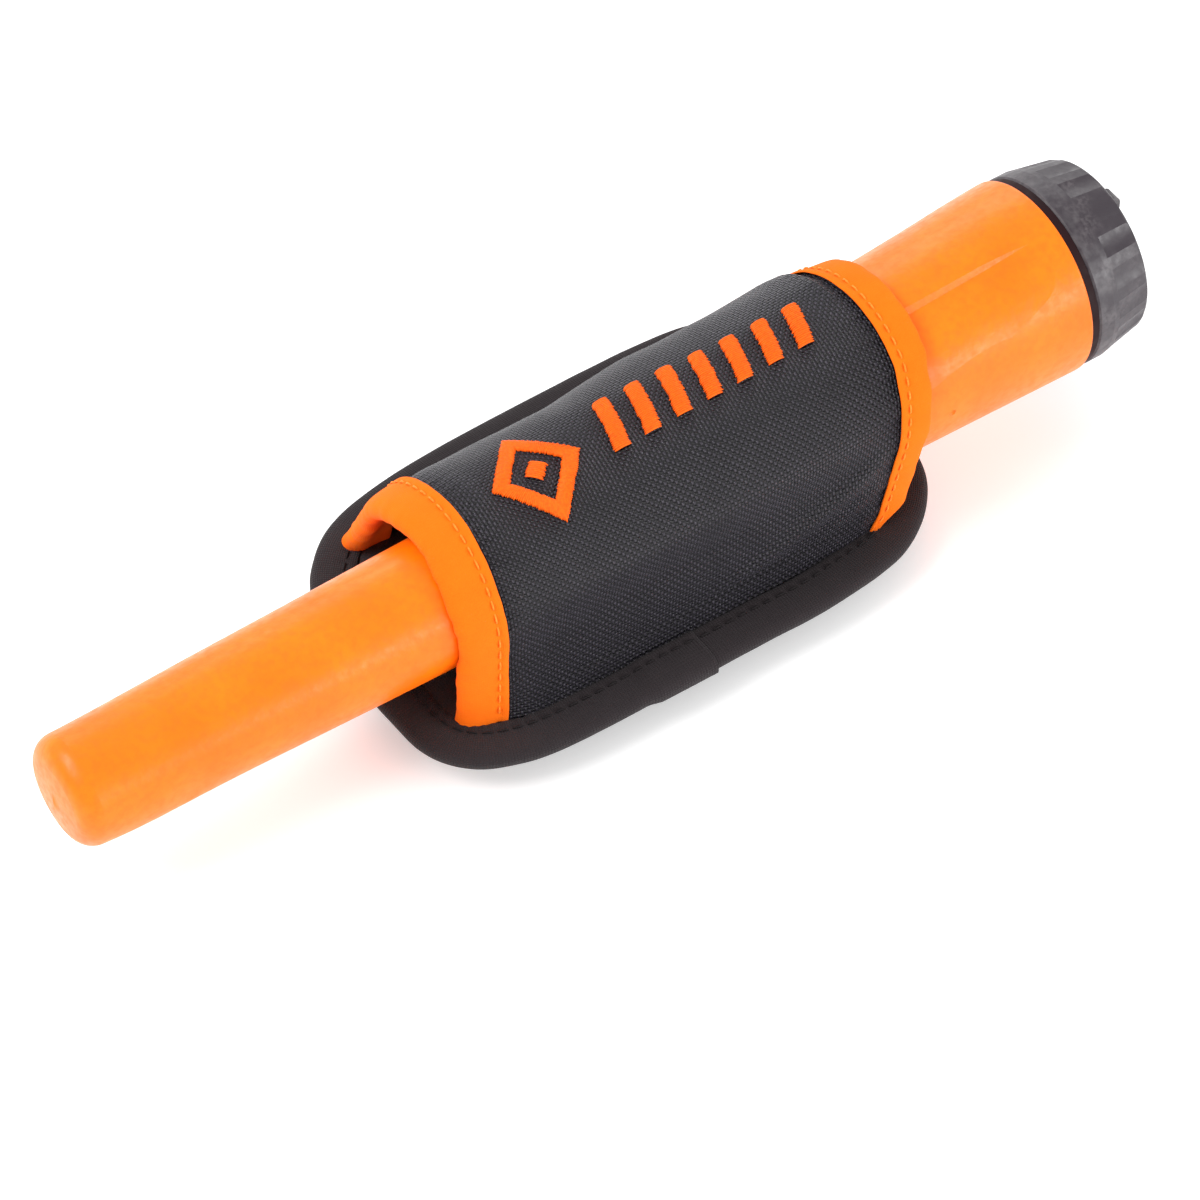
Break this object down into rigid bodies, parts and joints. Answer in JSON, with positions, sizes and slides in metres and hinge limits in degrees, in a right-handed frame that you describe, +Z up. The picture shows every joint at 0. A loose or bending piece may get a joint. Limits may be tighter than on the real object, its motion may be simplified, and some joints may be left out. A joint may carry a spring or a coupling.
{
  "type": "pinpointer probe",
  "caption": "Handheld metal detecting pinpointer probe with a screwed battery cap, seated in a padded woven belt holster with bound edges.",
  "frame": {"origin": "under the middle of the whole object, on the surface it lies on", "axes": "+X along the probe from its sensing tip to its battery cap, +Z up away from the belt, +Y to the left seen from the tip"},
  "size_m": [0.24, 0.0766, 0.0515],
  "materials": {
    "orange_plastic": "satin moulded",
    "dark_plastic": "satin moulded",
    "seal_rubber": "matt",
    "button_rubber": "matt",
    "clear_lens": "polished",
    "woven_nylon": "coarse basket weave, coated",
    "lining_nylon": "fine weave",
    "panel_nylon": "woven",
    "foam_sheet": "closed cell foam",
    "black_tape": "ribbed binding tape",
    "orange_tape": "knitted binding tape",
    "orange_thread": "embroidery thread",
    "black_thread": "sewing thread",
    "webbing": "woven webbing",
    "ferrite": "ground",
    "copper_wire": "enamelled windings",
    "former_plastic": "moulded",
    "potting_resin": "cast",
    "circuit_laminate": "solder mask",
    "component_black": "moulded",
    "plated_steel": "plated",
    "lamp_resin": "cast",
    "battery_case": "printed steel jacket",
    "contact_metal": "plated",
    "foam_pad": "sponge",
    "lead_insulation": "soft insulation"
  },
  "bodies": {
    "holster": {"panel_back": "panel_nylon", "panel_foam": "foam_sheet", "panel_lining": "lining_nylon", "edge_binding": "black_tape", "belt_loop": "webbing", "loop_tacks": "black_thread", "front_shell": "woven_nylon", "shell_lining": "lining_nylon", "tip_end_binding": "orange_tape", "cap_end_binding": "orange_tape"},
    "probe": {"housing_shell": "orange_plastic", "coil_former": "former_plastic", "ferrite_rod": "ferrite", "transmit_coil": "copper_wire", "receive_coils": "copper_wire", "potting_plug": "potting_resin", "coil_leads": "lead_insulation", "carrier": "former_plastic", "circuit_board": "circuit_laminate", "board_screws": "plated_steel", "board_components": "component_black", "tactile_switch": "component_black", "lamp": "lamp_resin", "lamp_window": "clear_lens", "sounder": "component_black", "sounder_gasket": "foam_pad", "button_seal": "seal_rubber", "vibration_motor": "plated_steel", "motor_tape": "foam_pad", "battery_bulkhead": "former_plastic", "battery_contacts": "contact_metal", "battery": "battery_case", "battery_terminals": "contact_metal", "battery_leads": "lead_insulation"},
    "button": {"power_button": "button_rubber"},
    "motor_rotor": {"motor_shaft": "plated_steel", "vibration_weight": "plated_steel"},
    "seal": {"cap_seal": "seal_rubber"},
    "cap": {"battery_cap": "dark_plastic", "cap_pad": "foam_pad"}
  },
  "joints": [
    {"name": "probe_draw", "type": "slide", "parent": "holster", "child": "probe", "axis": [1, 0, 0], "range_m": [0, 0.2]},
    {"name": "button_press", "type": "slide", "parent": "probe", "child": "button", "axis": [0.1288, 0, -0.9917], "range_m": [0, 0.0007], "stiffness_N_per_m": 2000, "springref_m": -0.0004},
    {"name": "rotor_spin", "type": "hinge", "parent": "probe", "child": "motor_rotor", "pos_m": [0.04, -0.0071, 0.026], "axis": [1, 0, 0], "continuous": true},
    {"name": "cap_travel", "type": "slide", "parent": "probe", "child": "seal", "axis": [1, 0, 0], "range_m": [0, 0.009]},
    {"name": "cap_turn", "type": "hinge", "parent": "seal", "child": "cap", "pos_m": [0.108, -0.0071, 0.0312], "axis": [1, 0, 0], "range_deg": [0, 1080]}
  ],
  "couplings": [
    {"joint": "cap_travel", "follows": "cap_turn", "m_per_rad": 0.00047746}
  ]
}
